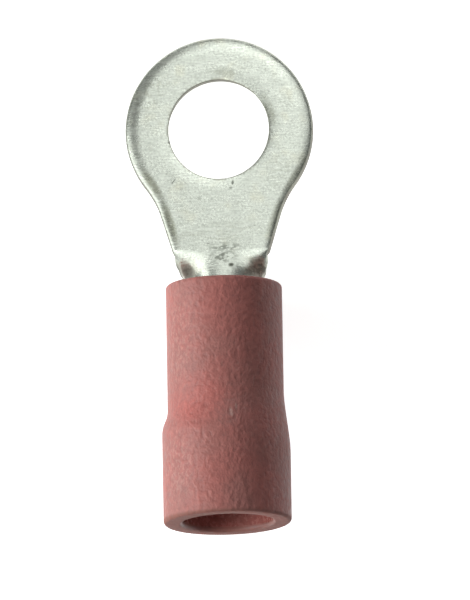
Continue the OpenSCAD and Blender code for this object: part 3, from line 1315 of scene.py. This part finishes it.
@dataclass(frozen=True)
class Panel:
    """A panel of the tent, which only shows in the part's gloss.

    Attributes:
        name: What it is called.
        clock: Where it starts and ends round the mirrored view, from the right to the top, in degrees.
        off: Where it starts and ends away from the mirrored view, in degrees.
        tone: How bright it is.
        blur: Over how many degrees it fades out, round and away.
    """

    name: str
    clock: Pair
    off: Pair
    tone: float
    blur: Pair

    def share(self, clock: float, off: float) -> float:
        """Tells how far the panel sets the tone in a direction.

        Args:
            clock: Angle round the mirrored view, in degrees.
            off: Angle away from it, in degrees.

        Returns:
            A number from 0 to 1.
        """
        middle, half = sum(self.clock) / 2, (self.clock[1] - self.clock[0]) / 2
        beside = half - abs((clock - middle + 180.0) % 360.0 - 180.0)
        inside = min(off - self.off[0], self.off[1] - off)
        return ease(beside / self.blur[0] + 0.5) * ease(inside / self.blur[1] + 0.5)


@dataclass(frozen=True)
class Tent:
    """A paper tent round the part, with panels that give its gloss something to show."""

    radius: float = 0.06  # metres
    tone: float = 0.875
    reach: float = 128.0  # degrees away from the mirrored view
    rounds: int = 96
    rows: int = 64
    panels: tuple[Panel, ...] = (
        Panel("dim room", (-85.0, 235.0), (46.0, 130.0), 0.12, (14.0, 8.0)),
        Panel("upper sheet", (38.0, 160.0), (4.0, 24.0), 1.22, (30.0, 8.0)),
        Panel("ring-side reflector", (38.0, 100.0), (14.0, 41.0), 1.45, (22.0, 8.0)),
        Panel("right screen", (-38.0, -2.0), (34.0, 70.0), 0.13, (20.0, 20.0)),
        Panel("sleeve-side reflector", (-158.0, -66.0), (20.0, 86.0), 1.28, (20.0, 10.0)),
        Panel("right reflector", (-72.0, -34.0), (20.0, 80.0), 1.00, (22.0, 10.0)),
        Panel("left screen", (137.0, 186.0), (10.0, 42.0), 0.22, (16.0, 6.0)),
        Panel("lower left screen", (184.0, 218.0), (9.0, 37.0), 0.24, (10.0, 6.0)),
        Panel("upper left screen", (112.0, 150.0), (26.0, 60.0), 0.25, (16.0, 14.0)),
        Panel("window", (178.0, 250.0), (43.0, 63.0), 1.60, (8.0, 6.0)),
        Panel("near screen", (-100.0, -66.0), (7.0, 20.0), 0.66, (14.0, 6.0)),
    )

    def place(self, centre: Vector, mirrored: Matrix) -> Object:
        """Puts the tent up.

        Args:
            centre: The ring's middle.
            mirrored: Columns: right, up and the direction that the flat of the tongue mirrors.

        Returns:
            The tent.
        """
        work = bmesh.new()
        tones = work.verts.layers.float.new(TENT_TONE)
        grid = []
        for j in range(self.rows + 1):
            for i in range(self.rounds):
                clock, off = 360.0 * i / self.rounds, self.reach * j / self.rows
                vert = work.verts.new(centre + self.radius * (mirrored @ polar(clock, off)))
                tone = self.tone
                for panel in self.panels:
                    tone += (panel.tone - tone) * panel.share(clock, off)
                vert[tones] = tone
                grid.append(vert)
        for j in range(self.rows):
            for i in range(self.rounds):
                k, n = j * self.rounds + i, j * self.rounds + (i + 1) % self.rounds
                work.faces.new((grid[k], grid[k + self.rounds], grid[n + self.rounds], grid[n]))
        bmesh.ops.remove_doubles(work, verts=work.verts, dist=SAME_PLACE)
        mesh = bpy.data.meshes.new("tent")
        work.to_mesh(mesh)
        work.free()
        paint, graph = new_material("tent paper")
        tone = graph.node("ShaderNodeAttribute", attribute_name=TENT_TONE).outputs["Fac"]
        graph.surface(graph.node("ShaderNodeEmission", {"Color": grey(1.0), "Strength": tone}))
        mesh.materials.append(paint)
        made = linked("tent", mesh)
        for rays in ("camera", "shadow", "diffuse", "transmission"):
            setattr(made, "visible_" + rays, False)
        made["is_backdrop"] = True
        return made


@dataclass
class Studio:
    """Floor, world, lamps, tent and camera."""

    lay: Lay
    floor_size: float = 3.0  # metres
    floor_tone: float = 0.82
    floor_lift: float = 0.85  # added where the floor is looked at, so that it comes out white
    fill: float = 0.12
    view_height: float = 25.586  # shown at the part by the picture's longer side
    view_distance: float = 0.5  # metres
    sensor: float = 36.0
    tilt: float = math.radians(11.0)
    aside: float = math.radians(4.2)
    roll: float = math.radians(0.97)
    ring_offset: Pair = (-0.706, 7.293)  # to the right of the picture's middle, and above it
    lamps: tuple[Lamp, ...] = (
        Lamp("key", 188.0, 71.0, 0.30, (0.36, 0.22), 1.28),
        Lamp("ring side", 90.0, 62.0, 0.40, (0.24, 0.12), 0.26),
    )
    tent: Tent = Tent()
    view: Matrix = field(init=False)
    ring: Vector = field(init=False)

    def __post_init__(self) -> None:
        """Works out the view's columns, which are right, up and towards the camera, and finds the ring."""
        away = self.lay.direction(math.sin(self.aside), -math.sin(self.tilt), math.cos(self.tilt))
        right = self.lay.direction(0.0, 1.0, 0.0).cross(away).normalized()
        turn = Matrix.Rotation(-self.roll, 3, away)
        self.view = Matrix((turn @ right, turn @ away.cross(right), away)).transposed()
        self.ring = place_of("stud_hole")

    def mirrored(self) -> Matrix:
        """Works out where the flat of the tongue looks to.

        Returns:
            Columns: right, up and the direction that the flat of the tongue mirrors.
        """
        normal = axis_of("stud_hole")
        away = self.view.col[2]
        out = (2 * away.dot(normal) * normal - away).normalized()
        right = self.view.col[1].cross(out).normalized()
        return Matrix((right, out.cross(right), out)).transposed()

    @staticmethod
    def seen(graph: Graph) -> Socket:
        """Tells what is looked at from what only gives light.

        Args:
            graph: The graph that asks.

        Returns:
            A socket that is 1 for what the camera or a gloss shows, and 0 for light.
        """
        path = graph.node("ShaderNodeLightPath").outputs
        shown = graph.math("MAXIMUM", path["Is Camera Ray"], path["Is Glossy Ray"])
        return graph.math("MAXIMUM", shown, path["Is Transmission Ray"])

    def world(self) -> None:
        """Lights the room evenly; the backdrop itself is plain white."""
        made = bpy.data.worlds.new("room")
        made.use_nodes = True
        graph = Graph(made.node_tree)
        strength = graph.layered(self.fill, (self.seen(graph), 1.0 - self.fill))
        back = graph.node("ShaderNodeBackground", {"Color": grey(1.0), "Strength": strength})
        graph.surface(back, "ShaderNodeOutputWorld")
        bpy.context.scene.world = made

    def floor(self) -> None:
        """Lays a plain white floor under the part."""
        low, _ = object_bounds()
        mesh = bpy.data.meshes.new("floor")
        h = self.floor_size / 2
        corners = [(x, y, low.z) for x, y in ((-h, -h), (h, -h), (h, h), (-h, h))]
        mesh.from_pydata(corners, [], [(0, 1, 2, 3)])
        paint, graph = new_material("floor paint")
        matte = graph.result("ShaderNodeBsdfDiffuse", {"Color": grey(self.floor_tone)})
        lift = graph.math("MULTIPLY", self.seen(graph), self.floor_lift)
        glow = graph.result("ShaderNodeEmission", {"Color": grey(1.0), "Strength": lift})
        graph.surface(graph.node("ShaderNodeAddShader", {0: matte, 1: glow}))
        mesh.materials.append(paint)
        linked("floor", mesh)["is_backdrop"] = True

    def camera(self) -> None:
        """Puts the camera above the part, a little towards the wire entry and to one side."""
        right, up, away = self.view.col
        axis = axis_of("stud_hole")
        ring = axis * place_of("tongue_upper").dot(axis)
        aim = ring - right * (self.ring_offset[0] * MM) - up * (self.ring_offset[1] * MM)
        data = bpy.data.cameras.new("camera")
        data.sensor_width = self.sensor
        data.lens = self.sensor * self.view_distance / (self.view_height * MM)
        data.clip_start, data.clip_end = 0.01, 20.0
        made = linked("camera", data)
        made.matrix_world = Matrix.Translation(aim + away * self.view_distance) @ self.view.to_4x4()
        bpy.context.scene.camera = made

    def build(self, metal: Object) -> None:
        """Sets everything up round the finished part.

        Args:
            metal: The bright strip, which only the tent lights, so that no lamp glares in its curl.
        """
        bpy.context.scene.view_settings.view_transform = "Standard"
        self.world()
        self.floor()
        low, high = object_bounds()
        screened = bpy.data.collections.new("screened from the lamps")
        screened.objects.link(metal)
        screened.collection_objects[0].light_linking.link_state = "EXCLUDE"
        for lamp in self.lamps:
            lamp.place((low + high) / 2, self.view).light_linking.receiver_collection = screened
            LOG.info("studio: %s", lamp.name)
        self.tent.place(self.ring, self.mirrored())
        LOG.info("studio: tent with %d panels", len(self.tent.panels))
        self.camera()


# ---- Putting it together ----


def main() -> None:
    """Builds the part and its studio."""
    logging.basicConfig(level=logging.INFO, format="%(message)s")
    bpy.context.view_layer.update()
    lay = Lay()
    groups = Groups()
    metal = RingTerminal(lay).build(TinnedCopper().material(groups))
    InsulatingSleeve(lay).build(SoftPlastic(lay).material(groups))
    Studio(lay).build(metal)


if __name__ == "__main__":
    main()
